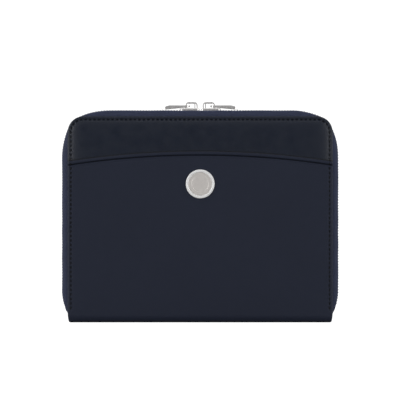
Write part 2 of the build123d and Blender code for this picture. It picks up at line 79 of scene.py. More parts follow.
# Shapes that a box doesn't give
CORNER = 8.5  # covers' top corners
FOLD = 4.0  # outer radius of the folds
FOLD_END = FOLD - FOLD * pi / 2  # a fold's far end, measured down along the surface
FOLD_EASE = 6.0  # below this height the leather narrows to the spine's length
SETTLED = 14.0  # the leather's swelling is whole from this height up
STRIP_HALF = SPINE_HALF - 0.1
ARCH_RISE = 5.5
ZIP_CORNER_SPAN = 26.0  # the zip's corners: two easy arcs with a tighter one between them
EASY_RADIUS = 40.0
EASY_ANGLE = radians(22.0)
TUCK_RADIUS = 28.4
TUCK_START = 17.6
COIL_TUCK_ANGLE = 19.0
TAPE_TUCK_ANGLE = 35.0
CHAIN_SPLIT = 2.7  # the chain is open between the sliders' posts

# Stitching
STITCH_INSET = 1.7
STITCH_FOOT = 8.0
STITCH_LENGTH = 1.35  # in sight
STITCH_HIDDEN = 0.15  # at its two ends together
STITCH_PITCH = 2.45
STITCH_POINTS = 9
THREAD_RADIUS = 0.27
THREAD_PROUD = 0.75  # a share of the radius
THREAD_DIVE = 0.42
THREAD_TAPER = 0.35
THREAD_TWIST = 3.4
THREAD_LOBES = 0.1
GROOVE_WIDTH = 0.5
GROOVE_DEPTH = 0.26
UNDER_THREAD = (0.55, 0.95)  # from a stitch's middle: groove whole, and gone
GROOVE_SHADE = 2.6  # painted shade in the groove: how dark it is painted for each millimetre of depth

# Leather. A pillow is (depth at the stitches, reach inwards, lift of the rim, inset of the whole lift)
UPPER_LIFT = 0.5
UPPER_PILLOW = (0.95, 4.0, 0.15, 1.0)
UPPER_DIP = (0.2, 3.0)  # below the arch: it starts to dip, and lies under the panel
UPPER_THICK = 1.1
BACK_FACE_DEPTH = 0.02
BACK_PILLOW = (0.4, 3.4, 0.1, 0.7)
PANEL_FACE_DEPTH = 0.06
PANEL_PILLOW = (0.2, 3.0, 0.1, 0.7)
PANEL_SLACK = 0.15
UNDER_PANEL_GAP = 0.12
SAG = 0.05  # the panel's faint unevenness, its two wavelengths, and where it is whole
SAG_WAVES = (17.0, 23.0)
SAG_REACH = 20.0
EDGE_PAINT = (-0.05, 0.3)  # insets between which the rim's paint fades
STRIP_WAVE = 0.02
STRIP_WAVE_LENGTH = 9.0

# The panel's turned top edge: a raised band, then lines of (depth, distance below the edge, width)
BAND_LIFT = 0.16
BAND_START = (0.1, 0.7)
BAND_END = (1.5, 2.3)
EDGE_LINES = [(0.55, 2.4, 0.3), (-0.07, 3.0, 0.3), (0.05, 4.1, 0.3)]
EDGE_TURN = 0.2
EDGE_TURN_REACH = 0.35
ARCH_LIP = [(0.03, 0.25), (0.05, 0.5), (0.0, 0.8)]  # over the edge: height, and share of the thickness
ARCH_PAINT = (0.2, 0.7)
# width of the painted shade along the crease
CREASE_SHADE_WIDTH = 0.35
SEAM_DROP = 0.6  # the highest stitch on the panel lies this far below the edge

# Rows and rings of the leather's meshes. A rim ring is (inset, share of the thickness)
RIM_RINGS = [(0.0, 1.0), (-0.06, 0.78), (-0.07, 0.6), (0.02, 0.42), (0.18, 0.25), (0.4, 0.12)]
RIM_RINGS += [(0.65, 0.04), (0.9, 0.0)]
FACE_RINGS = [1.05, 1.25, 1.4, 1.55, 1.7, 1.85, 2.0, 2.15, 2.4, 2.8, 3.4, 4.2, 5.2, 6.3, 7.4]
GROUP = 4  # fine stations to one coarse one inside
STATION_STEP = 0.41
BACK_LAP = 3.0
FOLD_STEPS = 12
UPPER_LAP = 3.0  # the upper leather's fine rows reach this far below the arch's ends
UPPER_LAP_ROWS = 24
ARCH_DROPS = [0.0, 0.08, 0.2, 0.35, 0.55, 0.8, 1.1, 1.4, 1.7, 1.95, 2.1, 2.2, 2.3, 2.4, 2.5, 2.6]
ARCH_DROPS += [2.7, 2.85, 3.0, 3.15, 3.3, 3.5, 3.75, 4.0, 4.25, 4.5, 4.8]
PANEL_FOLD_SPAN = 8.0
PANEL_FOLD_ROWS = 16
PANEL_INNER = 8.5
PANEL_COLUMNS = 60
STRIP_RINGS = [1.2, 2.0, 3.2, 5.0]
STRIP_INNER = 7.0
STRIP_COLUMNS = 48
STRIP_ROWS = 33

# Pockets and linings
POCKET_CORNER = 1.5
POCKET_SEAM = 46.0  # seams that part the card columns, either side of the middle
SEAM_WIDTH = 1.4
SEAM_DEPTH = 0.16
SLOT_BELLY = (0.12, 6.0)  # height, and the drop below the edge from which it is whole
POCKET_BELLY = (0.15, 20.0)
THUMB_RADIUS = 14.0
THUMB_DEPTH = 7.0
BEAD_HEIGHT = 0.14  # turned upper edges
BEAD_START = (0.0, 0.5)
BEAD_END = (1.6, 2.2)
CREASE_DEPTH = 0.1
CREASE_PLACE = (2.3, 0.2)
LINING_CORNER = 18.0
SPINE_TWILL_CORNER = 1.0
END_TAB_CORNER = 2.0
CLOTH_SLACK = 0.03
FLAT_WAVE = 0.05
SHEET_EDGE = [0.0, 0.12, 0.35, 0.8, 1.5]
SHEET_TOP = [2.2, 1.5, 0.8, 0.35, 0.12, 0.0]
SHEET_MIDDLE = 2.4
SHEET_ROUND = 0.35
SHEET_ROUND_SHARE = 0.45

# Zip chain
TOOTH_PITCH = 1.54
TURN_STEPS = 10
WIRE_RADIUS = 0.38
COIL_DEPTH = 0.97  # the coil's axis under the zip's outer edge
COIL_OFFSET = 0.575  # the coil's axis from the meeting line
COIL_HALF_WIDTH = 0.6
COIL_HALF_HEIGHT = 0.695
CORE_RADIUS = 0.5
CORE_SHIFT = 0.1
SEWING_RADIUS = 0.13
SEWING_SWELL = 0.09
SEWING_ROWS = (1.75, 2.25)
SEWING_DEPTH = 2.16

# Tapes
WEB_START = 0.9
WEB_DEPTH = 2.45
WEB_REACH = 4.5
# middle line of the puffed part: share of the way from the web's end to the seam, and depth
TAPE_LINE = [(0.0, 2.45), (0.12, 1.75), (0.3, 0.82), (0.5, 0.56), (0.7, 0.84), (0.87, 2.0)]
TAPE_LINE += [(0.97, 3.4), (1.0, 4.6)]
TAPE_FOOT = 10.5
TAPE_HALF = 0.25
TAPE_STEP = 1.3
TAPE_RIPPLE = 0.07
TAPE_WAVES = (2.9, 11.0)
RIPPLE_START = (4.6, 6.0)
RIPPLE_END = (-0.8, -0.2)
TAPE_SEAM = {"front": 9.4, "back": 10.5}  # where the tapes are sewn in
# A coil's shift in turns and in depth: the back one's turns lie between the front one's, a little deeper
COIL_SHIFT = {"front": (0.0, 0.0), "back": (0.5, 0.3)}

# Badge
RING_WIDTH = 1.5
RING_SUNK = 0.15
RING_CROWN = 0.48
DISC_PLAY = 0.02
DISC_HEIGHT = 0.5
DISC_RIDGE = 4.6  # radius of the fine raised ring

# dark colour of the painted rims, also mixed in as painted shade in the stitch grooves and the crease
RIM_PAINT_AND_SHADE_COLOUR = (0.0025, 0.0030, 0.0050)

# Studio, in metres
VIEW_WIDTH = 0.220  # across the frame, at the wallet
CAMERA_DISTANCE = 2.4
CAMERA_HEIGHT = 0.0671
WORLD_FILL = 0.13
WORLD_WHITE = 1.15
FLOOR_REACH = 5.0
FLOOR_PAINT = 0.6
FLOOR_GLOW = 1.3
FLOOR_GLOW_SHARE = 0.85
LIT_MIDDLE = (0, 0, 0.06)
# place, width, height and radiance
LIGHTS = [
    ((-1.25, -0.6, 0.3), 0.8, 1.3, 2.4),
    ((1.3, -0.6, 0.3), 0.8, 1.3, 2.0),
    ((-0.95, -1.6, 0.3), 0.45, 1.0, 3.0),
    ((0.95, -1.6, 0.3), 0.45, 1.0, 3.0),
    ((-1.3, 0.35, 0.4), 0.7, 1.2, 2.2),
    ((1.3, 0.35, 0.4), 0.7, 1.2, 1.5),
    ((0, -0.1, 1.2), 1.3, 0.9, 0.8),
    ((0, -1.7, 1.1), 1.4, 0.5, 1.2),
    ((0.2, 1.6, 0.9), 1.6, 1.0, 1.5),
]

# ---- Mesh helpers ----


def smooth(low, high, value):
    """0 below low, 1 above high, and an S-shaped ramp between."""
    t = np.clip((value - low) / (high - low), 0, 1)
    return t * t * (3 - 2 * t)


def hump(value, centre, width):
    """A smooth hump, 1 high at its centre."""
    return np.exp(-((value - centre) / width) ** 2)


def joined(*parts):
    """Coordinates put together as points."""
    return np.stack(np.broadcast_arrays(*parts), -1)


def new_object(name, data):
    """An object with this data, linked into the scene."""
    item = bpy.data.objects.new(name, data)
    bpy.context.scene.collection.objects.link(item)
    return item


class Skin:
    """Collects points and faces for one mesh object."""

    def __init__(self):
        self.points = []
        self.uvs = []
        self.rims = []
        self.faces = []

    def add(self, points, uvs, rims=None):
        """Adds points in an array of any shape, and returns their numbers in that shape."""
        shape = points.shape[:-1]
        start = len(self.points)
        self.points.extend(points.reshape(-1, 3).tolist())
        self.uvs.extend(uvs.reshape(-1, 2).tolist())
        rims = np.zeros(shape) if rims is None else np.broadcast_to(rims, shape)
        self.rims.extend(rims.reshape(-1).tolist())
        return np.arange(start, len(self.points)).reshape(shape)

    def quads(self, grid, flip=False, close_rows=False, close_columns=False):
        """Faces between the neighbours of a grid of point numbers."""
        if close_rows:
            grid = np.vstack([grid, grid[:1]])
        if close_columns:
            grid = np.hstack([grid, grid[:, :1]])
        corners = [grid[:-1, :-1], grid[:-1, 1:], grid[1:, 1:], grid[1:, :-1]]
        if flip:
            corners.reverse()
        self.faces.extend(np.stack(corners, -1).reshape(-1, 4).tolist())

    def face(self, numbers, flip=False):
        numbers = [int(n) for n in numbers]
        self.faces.append(numbers[::-1] if flip else numbers)

    def bar(self, points, uvs):
        """Skin over a row of closed rings, with a cap at each end."""
        grid = self.add(points, uvs)
        self.quads(grid, close_columns=True)
        self.face(grid[0])
        self.face(grid[-1], flip=True)

    def make(self, name, material):
        """The finished object, smooth shaded, with metric UVs and the rim attribute."""
        mesh = bpy.data.meshes.new(name)
        mesh.from_pydata((np.array(self.points) * MM).tolist(), [], self.faces)
        loops = np.empty(len(mesh.loops), dtype=np.int64)
        mesh.loops.foreach_get("vertex_index", loops)
        layer = mesh.uv_layers.new(name="surface")
        layer.data.foreach_set("uv", (np.array(self.uvs)[loops] * MM).astype(np.float32).ravel())
        rim = mesh.attributes.new("rim", "FLOAT", "POINT")
        rim.data.foreach_set("value", np.array(self.rims, dtype=np.float32))
        mesh.polygons.foreach_set("use_smooth", [True] * len(mesh.polygons))
        mesh.materials.append(material)
        whole = bmesh.new()
        whole.from_mesh(mesh)
        bmesh.ops.recalc_face_normals(whole, faces=whole.faces)
        whole.to_mesh(mesh)
        whole.free()
        return new_object(name, mesh)


def lengths(line):
    """How far along a line each of its points lies."""
    return np.concatenate([[0], np.cumsum(np.linalg.norm(np.diff(line, axis=0), axis=1))])


def tube(skin, line, radius, sides=8, twist=0.0, lobes=0.0, out=(0, 1, 0)):
    """A round tube along a line; twist and lobes make it look like plied thread."""
    line = np.asarray(line, float)
    tangent = np.gradient(line, axis=0)
    tangent /= np.linalg.norm(tangent, axis=1)[:, None]
    across = np.cross(tangent, out)
    across /= np.linalg.norm(across, axis=1)[:, None]
    out = np.cross(across, tangent)
    along = lengths(line)
    angle = np.linspace(0, tau, sides, endpoint=False)
    radius = np.broadcast_to(radius, len(line))[:, None]
    swell = radius * (1 + lobes * np.cos(2 * (angle[None] - twist * along[:, None])))
    points = line[:, None] + across[:, None] * (swell * np.cos(angle))[..., None]
    points = points + out[:, None] * (swell * np.sin(angle))[..., None]
    uvs = joined(along[:, None], angle * radius)
    skin.bar(points, uvs)


# ---- Leather covers ----


def on_cover(x, v, depth, side):
    """A point of a cover: v runs up the face, and round the fold below it."""
    turn = np.clip((FOLD - v) / FOLD, 0, pi / 2)
    radius = FOLD - depth
    y = np.where(v < FOLD, FACE - FOLD + radius * np.cos(turn), FACE - depth)
    z = np.where(v < FOLD, FOLD - radius * np.sin(turn), v)
    narrow = 1 - (1 - STRIP_HALF / HALF) * smooth(FOLD_EASE, FOLD_END, v)
    return joined(x * narrow, side * y, z)


STITCH_CORNER = CORNER - STITCH_INSET
STITCH_RISE = TOP - CORNER - STITCH_FOOT
STITCH_QUARTER = pi * STITCH_CORNER / 2
STITCH_RUN = 2 * (HALF - CORNER)
STITCH_TOTAL = 2 * STITCH_RISE + 2 * STITCH_QUARTER + STITCH_RUN
STITCH_COUNT = int(STITCH_TOTAL / STITCH_PITCH)
STITCH_STEP = STITCH_TOTAL / STITCH_COUNT
FINE_STEP = STITCH_STEP / 6


def stitch_groove(inset, along):
    """Depth pressed into the leather by the stitches."""
    place = along / STITCH_STEP
    off_centre = np.abs(place - np.round(place)) * STITCH_STEP
    under_thread = 1 - smooth(*UNDER_THREAD, off_centre)
    started = smooth(-STITCH_STEP, -0.5 * STITCH_STEP, along)
    return GROOVE_DEPTH * hump(inset, STITCH_INSET, GROOVE_WIDTH) * under_thread * started


def edge_paint(inset):
    """How much of the rim's dark paint shows."""
    return 0.5 * (1 - smooth(*EDGE_PAINT, inset))


def pillow(inset, drop, reach, lip, lip_end):
    """Depth pressed by the stitches, which eases out inside them."""
    lift = lip * smooth(STITCH_INSET, lip_end, inset)
    return drop * np.exp(-np.maximum(inset - STITCH_INSET, 0) / reach) - lift


def in_groups(count):
    """The next count that splits evenly into groups."""
    return int(np.ceil(count / GROUP)) * GROUP


def outline_stations(side_rows):
    """Stations of a cover's outline: place, the way in, and distance along the stitches."""
    corner_count = in_groups(STITCH_QUARTER / STATION_STEP)
    run_count = in_groups(STITCH_RUN / STATION_STEP)
    turns = np.linspace(0, pi / 2, corner_count + 1)[1:]
    left = [(-HALF, z, 1.0, 0.0, z - STITCH_FOOT) for z in side_rows]
    for turn in turns:
        x = -HALF + CORNER - CORNER * cos(turn)
        z = TOP - CORNER + CORNER * sin(turn)
        left.append((x, z, cos(turn), -sin(turn), STITCH_RISE + STITCH_CORNER * turn))
    start = -HALF + CORNER
    run = np.linspace(start, -start, run_count + 1)[1:-1]
    top = [(x, TOP, 0.0, -1.0, STITCH_RISE + STITCH_QUARTER + x - start) for x in run]
    right = [(-x, z, -nx, nz, STITCH_TOTAL - along) for x, z, nx, nz, along in reversed(left)]
    return np.array(left + top + right), corner_count, run_count


def cover_piece(name, side, face_depth, thick, side_rows, material):
    """A cover's leather, with its rolled rim and grooves, and its fold if the rows have one."""
    stations, corner_count, run_count = outline_stations(side_rows)
    skin = Skin()

    def ring(chosen, inset, through):
        x, z, nx, nz, along = chosen.T
        px, pz = x + nx * inset, z + nz * inset
        depth = face_depth(px, pz, max(inset, 0.0)) + stitch_groove(inset, along)
        depth = depth + (thick - depth) * through
        # rim attribute: the rim's dark edge paint, plus painted shade in the stitch groove
        dark = edge_paint(inset) + GROOVE_SHADE * stitch_groove(inset, along)
        return on_cover(px, pz, depth, side), joined(px, pz), dark

    fine = RIM_RINGS + [(inset, 0.0) for inset in FACE_RINGS]
    rings = [skin.add(*ring(stations, inset, through)) for inset, through in fine]
    flip = side > 0
    skin.quads(np.stack(rings), flip=not flip)

    coarse = stations[::GROUP]
    columns = np.linspace(-HALF + CORNER, HALF - CORNER, run_count // GROUP + 1)
    rows = np.asarray(side_rows)[::GROUP]

    def inside(through):
        x, z = np.meshgrid(columns, rows)
        depth = face_depth(x, z, np.minimum(HALF - np.abs(x), TOP - z))
        depth = depth + (thick - depth) * through
        return skin.add(on_cover(x, z, depth, side), joined(x, z), np.zeros(x.shape))

    def border(grid):
        """The inner grid's border, one point for each coarse station."""
        corners = corner_count // GROUP
        up, over, down = list(grid[:, 0]), list(grid[-1, 1:-1]), list(grid[::-1, -1])
        return up + [grid[-1, 0]] * corners + over + [grid[-1, -1]] * corners + down

    def join(outer, inner, step, flip_faces):
        """Faces from a ring, taken in steps, to a coarse one."""
        for number in range(len(inner) - 1):
            near = list(outer[number * step:(number + 1) * step + 1])
            far = [inner[number + 1], inner[number]]
            skin.face(near + (far[:1] if far[0] == far[1] else far), flip=flip_faces)

    front = inside(0.0)
    skin.quads(front, flip=flip)
    join(rings[-1], border(front), GROUP, not flip)
    back = inside(1.0)
    skin.quads(back, flip=not flip)
    lap = skin.add(*ring(coarse, BACK_LAP, 1.0))
    join(rings[0], lap, GROUP, flip)
    join(lap, border(back), 1, flip)
    foot = [r[0] for r in rings] + list(front[0]) + [r[-1] for r in reversed(rings)]
    foot += [lap[-1]] + list(back[0][::-1]) + [lap[0]]
    skin.face(foot, flip=not flip)
    return skin.make(name, material)


def arch(x):
    """Height of the pocket's top edge."""
    radius = (HALF ** 2 + ARCH_RISE ** 2) / (2 * ARCH_RISE)
    return PANEL_TOP - radius + np.sqrt(radius ** 2 - x ** 2)


def fold_and_face_rows(top, fine_from):
    """Heights of the side stations, from the fold's far end up, in whole groups."""
    fold = np.linspace(FOLD_END, FOLD, FOLD_STEPS + 1)[:-1]
    low = np.linspace(FOLD, fine_from, GROUP + 1)[:-1]
    count = in_groups((top - fine_from) / FINE_STEP)
    return np.concatenate([fold, low, np.linspace(fine_from, top, count + 1)])


def upper_depth(x, z, inset):
    """Front cover leather, which dips under the pocket panel."""
    shape = SHEET - UPPER_LIFT + pillow(inset, *UPPER_PILLOW)
    covered = smooth(*UPPER_DIP, arch(np.clip(x, -HALF, HALF)) - z)
    return shape + (SHEET + UNDER_PANEL_GAP - shape) * covered


def back_depth(x, z, inset):
    """Back cover leather: an even pillow."""
    return BACK_FACE_DEPTH + pillow(inset, *BACK_PILLOW) * smooth(FOLD_END, SETTLED, z)


def panel_depth(x, drop, inset, v):
    """Pocket panel, with a turned top edge and a sharp crease under it."""
    settled = smooth(FOLD_END, SETTLED, v)
    band = BAND_LIFT * smooth(*BAND_START, drop) * (1 - smooth(*BAND_END, drop))
    lines = sum(depth * hump(drop, place, width) for depth, place, width in EDGE_LINES)
    turned = EDGE_TURN * (1 - smooth(0.0, EDGE_TURN_REACH, drop))
    sag = SAG * np.sin(x / SAG_WAVES[0]) * np.sin(v / SAG_WAVES[1])
    quiet = smooth(2.0, SETTLED, inset) * smooth(0.0, SAG_REACH, drop) * settled
    pressed = PANEL_FACE_DEPTH + pillow(inset, *PANEL_PILLOW) * settled
    return pressed - band + lines + turned + sag * quiet


def rolled_columns(half, face_rings, reach, count):
    """Places across a piece with rolled side rims, and how far through it they lie."""
    insets = [inset for inset, _ in RIM_RINGS] + face_rings
    through = [share for _, share in RIM_RINGS] + [0.0] * len(face_rings)
    inner = list(np.linspace(-half + reach, half - reach, count))
    xs = [-half + i for i in insets] + inner + [half - i for i in reversed(insets)]
    return np.array(xs), np.array(through + [0.0] * count + through[::-1])


def pocket_panel(material):
    """The slip pocket's outer leather, from the arch down and round the fold."""
    skin = Skin()
    side = -1
    full = PANEL_TOP - FOLD_END
    fold_from = full - PANEL_FOLD_SPAN
    steps = int((PANEL_TOP - ARCH_RISE - STITCH_FOOT) / FINE_STEP)
    middle_drops = np.linspace(ARCH_DROPS[-1] + 0.4, fold_from, steps)
    fold_drops = np.linspace(fold_from + 0.6, full, PANEL_FOLD_ROWS)
    drops = np.concatenate([ARCH_DROPS, middle_drops, fold_drops])
    xs, through = rolled_columns(HALF, FACE_RINGS, PANEL_INNER, PANEL_COLUMNS)
    top = arch(np.clip(xs, -HALF, HALF))
    v = top[None] - drops[:, None] / full * (top[None] - FOLD_END)
    drop = top[None] - v
    inset = HALF - np.abs(xs)
    groove = stitch_groove(inset, v - STITCH_FOOT)
    depth = panel_depth(xs[None], drop, np.maximum(inset, 0), v) + groove
    thick = SHEET + PANEL_SLACK
    depth = depth + (thick - depth) * through[None]
    # rim attribute: edge paint at the sides and the arched edge, plus painted shade in the stitch groove
    # and along the crease
    dark = np.maximum(edge_paint(inset), 1 - smooth(*ARCH_PAINT, drop))
    dark = np.maximum(dark, GROOVE_SHADE * groove)
    # painted shade along the crease under the turned edge
    dark = np.maximum(dark, hump(drop, EDGE_LINES[0][1], CREASE_SHADE_WIDTH))
    uvs = joined(xs, v)
    face = skin.add(on_cover(xs, v, depth, side), uvs, dark)
    skin.quads(face, flip=True)
    # over the arched edge to the back of the sheet
    lips = []
    for out, share in ARCH_LIP:
        lip_depth = depth[0] + (thick - depth[0]) * share
        lip = on_cover(xs, top + out, lip_depth, side)
        lips.append(skin.add(lip, uvs[0], np.ones(len(xs))))
    skin.quads(np.vstack([np.stack(lips[::-1]), face[:1]]), flip=True)
    columns = slice(len(RIM_RINGS) - 1, len(xs) - len(RIM_RINGS) + 1)
    hidden = on_cover(xs, v, thick, side)
    back = skin.add(hidden[:, columns], uvs[:, columns])
    skin.quads(back)
    skin.quads(np.stack([face[:, 0], back[:, 0]], 1))
    skin.quads(np.stack([back[:, -1], face[:, -1]], 1))
    skin.face(list(lips[-1]) + list(back[0][::-1]))
    for end, flip in ((0, False), (-1, True)):
        skin.face([lip[end] for lip in lips] + [back[0][end], face[0][end]], flip=flip)
    skin.face(list(face[-1]) + list(back[-1][::-1]), flip=True)
    return skin.make("pocket_panel", material)


def stitches(name, side, depth_at, material):
    """Stitches of plied thread, which dive into the leather at both ends."""
    skin = Skin()
    start = -HALF + CORNER
    bow = np.linspace(-1, 1, STITCH_POINTS)
    for number in range(STITCH_COUNT + 1):
        line = []
        for place in number * STITCH_STEP + bow / 2 * (STITCH_LENGTH + STITCH_HIDDEN):
            mirrored = place > STITCH_TOTAL / 2
            place = STITCH_TOTAL - place if mirrored else place
            if place < STITCH_RISE:
                x, z = -HALF + STITCH_INSET, STITCH_FOOT + place
            elif place < STITCH_RISE + STITCH_QUARTER:
                turn = (place - STITCH_RISE) / STITCH_CORNER
                x = start - STITCH_CORNER * cos(turn)
                z = TOP - CORNER + STITCH_CORNER * sin(turn)
            else:
                x, z = start + place - STITCH_RISE - STITCH_QUARTER, TOP - STITCH_INSET
            line.append((-x if mirrored else x, z))
        line = np.array(line)
        surface = depth_at(*line[len(line) // 2]) + GROOVE_DEPTH
        depth = surface - THREAD_RADIUS * THREAD_PROUD + THREAD_DIVE * np.abs(bow) ** 4
        points = joined(line[:, 0], side * (FACE - depth), line[:, 1])
        radius = THREAD_RADIUS * (1 - THREAD_TAPER * np.abs(bow) ** 6)
        tube(skin, points, radius, twist=THREAD_TWIST, lobes=THREAD_LOBES)
    return skin.make(name, material)


def spine_strip(material):
    """The leather under the spine, between the two folds."""
    skin = Skin()
    half_width = FACE - FOLD
    xs, through = rolled_columns(STRIP_HALF, STRIP_RINGS, STRIP_INNER, STRIP_COLUMNS)
    x, y = np.meshgrid(xs, np.linspace(-half_width, half_width, STRIP_ROWS))
    face_z = STRIP_WAVE * (1 - (y / half_width) ** 2) * np.cos(x / STRIP_WAVE_LENGTH) ** 2
    face_z = np.where(through[None] > 0, through[None] * SHEET, face_z)
    dark = 1 - smooth(0.0, 0.7, STRIP_HALF - np.abs(x))
    uvs = joined(x, y)
    face = skin.add(joined(x, y, face_z), uvs, dark)
    skin.quads(face, flip=True)
    ends = [0, -1]
    back = skin.add(joined(x, y, SHEET)[:, ends], uvs[:, ends])
    skin.quads(back)
    skin.face(list(face[0]) + [back[0, -1], back[0, 0]])
    skin.face(list(face[-1]) + [back[-1, -1], back[-1, 0]], flip=True)
    return skin.make("spine_strip", material)


# ---- Pockets, linings and tabs ----


def inner_sheet(name, material, half, foot, top, y_face, y_back, shape, rows=60, columns=96):
    """An upright sheet: top(x) is its upper edge, and shape(x, z, drop) swells its face."""
    skin = Skin()
    toward = np.sign(y_face - y_back)
    edge = np.array(SHEET_EDGE)
    middle = half - SHEET_MIDDLE
    xs = np.concatenate([-half + edge, np.linspace(-middle, middle, columns), half - edge[::-1]])
    tops = top(xs)
    span = tops.max() - foot
    middle_rows = np.linspace(SHEET_MIDDLE, span - SHEET_MIDDLE - 0.6, rows)
    shares = np.concatenate([edge, middle_rows, span - np.array(SHEET_TOP)]) / span
    z = foot + shares[:, None] * (tops[None] - foot)
    drop = tops[None] - z
    inset = np.minimum(np.minimum(half - np.abs(xs), drop), z - foot)
    rounded = 1 - np.sqrt(1 - (1 - np.clip(inset / SHEET_ROUND, 0, 1)) ** 2)
    height = shape(xs, z, drop) - SHEET_ROUND_SHARE * abs(y_face - y_back) * rounded
    dark = 1 - smooth(0.0, 0.6, inset)
    face = skin.add(joined(xs, y_face + toward * height, z), joined(xs, z), dark)
    skin.quads(face, flip=toward > 0)
    rim = list(face[0]) + list(face[1:, -1]) + list(face[-1, -2::-1]) + list(face[-2:0:-1, 0])
    rim_points = np.array([skin.points[n] for n in rim])
    rim_uvs = np.array([skin.uvs[n] for n in rim])
    rim_points[:, 1] = y_back
    wall = skin.add(rim_points, rim_uvs, np.ones(len(rim)))
    skin.quads(np.stack([np.array(rim), wall]), flip=toward < 0, close_columns=True)
    skin.face(wall, flip=toward < 0)
    return skin.make(name, material)


def corner_drop(x, half, corner):
    """How far a rounded top corner falls below the straight top edge."""
    past = np.clip(np.abs(x) - (half - corner), 0, corner)
    return corner - np.sqrt(corner ** 2 - past ** 2)


def turned_edge(drop):
    """A turned and creased upper edge."""
    bead = BEAD_HEIGHT * smooth(*BEAD_START, drop) * (1 - smooth(*BEAD_END, drop))
    return bead - CREASE_DEPTH * hump(drop, *CREASE_PLACE)


def belly(x, drop, half, height, reach):
    """The soft bulge of a pocket's middle."""
    return height * np.cos(x / half * pi / 2) * smooth(0, reach, drop)


def card_slot(index, material):
    """One stepped card slot, with the seams at its sides."""
    low, high = box_mm(f"front_card_slot_{index}")
    seams = np.array([-POCKET_SEAM, POCKET_SEAM])

    def shape(x, z, drop):
        pull = hump(x[..., None], seams, SEAM_WIDTH).sum(-1)
        return turned_edge(drop) + belly(x, drop, high[0], *SLOT_BELLY) - SEAM_DEPTH * pull

    return inner_sheet(
        f"card_slot_{index}", material, high[0], low[2],
        lambda x: high[2] - corner_drop(x, high[0], POCKET_CORNER), high[1], low[1], shape, rows=30,
    )


def wide_pocket(name, node, material):
    """A full-width pocket inside the back cover, with a thumb notch."""
    low, high = box_mm(node)

    def top(x):
        reach = np.sqrt(np.clip(THUMB_RADIUS ** 2 - x ** 2, 0, None))
        notch = np.clip(reach - (THUMB_RADIUS - THUMB_DEPTH), 0, None)
        return high[2] - corner_drop(x, high[0], POCKET_CORNER) - notch

    def shape(x, z, drop):
        return turned_edge(drop) + belly(x, drop, high[0], *POCKET_BELLY)

    return inner_sheet(
        name, material, high[0], low[2], top, low[1], high[1], shape, rows=40, columns=150,
    )


def cover_lining(name, node, toward, material):
    """Twill glued inside a cover, with a little slack near its edges."""
    low, high = box_mm(node)
    faces = (high[1], low[1]) if toward > 0 else (low[1], high[1])

    def shape(x, z, drop):
        near = np.exp(-np.minimum(high[0] - np.abs(x), drop) / 3.0)
        return CLOTH_SLACK * np.sin(x / 3.1 + 2 * np.sin(z / 7.0)) * near

    return inner_sheet(
        name, material, high[0], low[2],
        lambda x: high[2] - corner_drop(x, high[0], LINING_CORNER), *faces, shape,
    )


def flat_sheet(name, node, material, corner):
    """A sheet that lies flat in the spine: the lining or an end tab."""
    low, high = box_mm(node)
    centre = (low[0] + high[0]) / 2
    half = (high[0] - low[0]) / 2
    width = high[1] - low[1]

    def shape(x, z, drop):
        return FLAT_WAVE * np.sin(x / 2.7) * np.sin(z / 2.1)

    piece = inner_sheet(
        name, material, half, 0.0, lambda x: width - corner_drop(x, half, corner), high[2], low[2],
        shape, rows=24, columns=60,
    )
    points = np.array([v.co for v in piece.data.vertices])
    turned = joined(points[:, 0] + centre * MM, points[:, 2] + low[1] * MM, points[:, 1])
    piece.data.vertices.foreach_set("co", turned.astype(np.float32).ravel())
    piece.data.flip_normals()
    return piece


# ---- Zip ----

EASY_REACH = EASY_RADIUS * (sin(EASY_ANGLE) + 1 - cos(EASY_ANGLE))
TIGHT_RADIUS = (ZIP_CORNER_SPAN - EASY_REACH) / (cos(EASY_ANGLE) - sin(EASY_ANGLE))
TIGHT_ANGLE = pi / 2 - 2 * EASY_ANGLE
EASY_BEND = (EASY_RADIUS * EASY_ANGLE, EASY_ANGLE)
TOP_RUN = ZIP_HALF - ZIP_CORNER_SPAN
SIDE_RUN = ZIP_TOP - ZIP_CORNER_SPAN - TUCK_START
# The zip's right half from the top's middle, as lengths and the angles they turn through
ZIP_RUNS = [
    (TOP_RUN, 0.0), EASY_BEND, (TIGHT_RADIUS * TIGHT_ANGLE, TIGHT_ANGLE), EASY_BEND, (SIDE_RUN, 0.0),
    (TUCK_RADIUS * pi / 2, pi / 2),
]
STRAIGHT_END = sum(length for length, _ in ZIP_RUNS[:-1])


def zip_place(along):
    """The zip's outer edge and the way out, at distances from the top's middle."""
    distance = np.abs(np.asarray(along, float))
    x, z, heading = 0 * distance, ZIP_TOP + 0 * distance, 0 * distance
    start = 0.0
    for length, angle in ZIP_RUNS:
        part = np.clip(distance - start, 0, length)
        turn = part / length * angle
        if angle:
            radius = length / angle
            x = x + radius * (np.sin(heading + turn) - np.sin(heading))
            z = z - radius * (np.cos(heading) - np.cos(heading + turn))
        else:
            x = x + part * np.cos(heading)
            z = z - part * np.sin(heading)
        heading = heading + turn
        start += length
    hand = np.where(np.asarray(along) < 0, -1.0, 1.0)
    return hand * x, z, hand * np.sin(heading), np.cos(heading)


def zip_point(along, depth, y):
    """A point at a depth under the zip's outer edge."""
    x, z, out_x, out_z = zip_place(along)
    return joined(x - out_x * depth, y, z - out_z * depth)


def eased(points, steps=5):
    """A smooth line through points, Catmull-Rom style."""
    points = np.array(points)
    padded = np.vstack([2 * points[0] - points[1], points, 2 * points[-1] - points[-2]])
    line = []
    for before, start, end, after in zip(padded, padded[1:], padded[2:], padded[3:]):
        for t in np.arange(steps) / steps:
            bend = -before + 3 * start - 3 * end + after
            lean = 2 * before - 5 * start + 4 * end - after
            line.append(start + 0.5 * t * (end - before + t * (lean + t * bend)))
    return np.array(line + [points[-1]])


